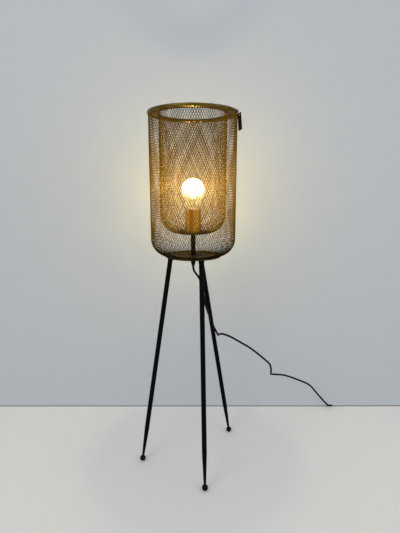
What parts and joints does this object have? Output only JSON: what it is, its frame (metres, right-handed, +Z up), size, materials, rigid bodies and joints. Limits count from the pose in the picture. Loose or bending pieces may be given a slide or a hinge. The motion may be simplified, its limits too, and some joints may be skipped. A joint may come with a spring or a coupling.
{
  "type": "tripod table lamp",
  "caption": "Tall lamp with a nested wire-mesh basket shade round a clear filament bulb, on splayed black tube legs with ball feet, with a mains lead, in-line switch and plug.",
  "frame": {"origin": "on the table, under the middle of the shade", "axes": "+Z up, -Y towards the viewer, +X to the viewer's right"},
  "size_m": [0.7002, 0.5272, 0.9612],
  "materials": {
    "mesh_brass": "satin",
    "brass_trim": "satin",
    "olive_metal": "satin",
    "black_metal": "satin",
    "zinc_steel": "brushed",
    "raw_brass": "machined",
    "holder_brass": "polished",
    "ceramic": "glazed",
    "black_plastic": "moulded",
    "cord_black": "satin",
    "core_insulation": "satin",
    "cap_nickel": "rolled",
    "clear_glass": "clear",
    "filament_glow": "coated",
    "black_card": "uncoated card"
  },
  "bodies": {
    "lamp": {"base_plate": "olive_metal", "leg_bosses": "black_metal", "leg_front": "black_metal", "leg_right": "black_metal", "leg_left": "black_metal", "leg_studs": "zinc_steel", "foot_front": "black_metal", "foot_right": "black_metal", "foot_left": "black_metal", "outer_basket": "mesh_brass", "outer_basket_between": "mesh_brass", "outer_basket_floor": "mesh_brass", "basket_foot_wire": "brass_trim", "rim_rod": "brass_trim", "top_ring": "brass_trim", "inner_basket": "mesh_brass", "inner_basket_between": "mesh_brass", "inner_floor": "mesh_brass", "inner_rim_wire": "brass_trim", "threaded_pipe": "raw_brass", "stem_sleeve": "black_metal", "base_washer": "black_metal", "pipe_nut": "black_metal", "basket_washer": "black_metal", "holder_washer": "olive_metal", "cord_grip": "black_plastic", "pipe_cord": "cord_black", "core_wires": "core_insulation", "holder_cup": "holder_brass", "holder_core": "ceramic", "holder_thread": "raw_brass", "centre_contact": "raw_brass", "side_contact": "raw_brass", "contact_rivets": "raw_brass", "cord_drop": "cord_black", "cord_coil": "cord_black", "cord_tie": "black_plastic", "cord_to_switch": "cord_black", "switch_base": "black_plastic", "switch_cover": "black_plastic", "switch_glands": "black_plastic", "switch_contacts": "raw_brass", "switch_screws": "zinc_steel", "rocker_pin": "zinc_steel", "cord_to_plug": "cord_black", "plug_body": "black_plastic", "plug_pins": "raw_brass", "pin_sleeves": "black_plastic", "tag_hook": "zinc_steel"},
    "bulb": {"bulb_cap": "cap_nickel", "bulb_insulator": "black_plastic", "bulb_contact": "cap_nickel", "bulb_glass": "clear_glass", "bulb_stem": "clear_glass", "bulb_filaments": "filament_glow", "filament_wires": "zinc_steel"},
    "rocker": {"switch_rocker": "black_plastic"},
    "tag": {"hang_tag": "black_card", "tag_eyelet": "raw_brass"}
  },
  "joints": [
    {"name": "bulb_out", "type": "slide", "parent": "lamp", "child": "bulb", "axis": [0, 0, 1], "range_m": [0, 0.27]},
    {"name": "rocker_tilt", "type": "hinge", "parent": "lamp", "child": "rocker", "pos_m": [0.404, 0.356, 0.013], "axis": [0, 1, 0], "range_deg": [-14, 0]},
    {"name": "tag_swing", "type": "hinge", "parent": "lamp", "child": "tag", "pos_m": [0.11242, -0.03653, 0.94875], "axis": [-0.309, -0.9511, 0], "range_deg": [0, 18]}
  ]
}
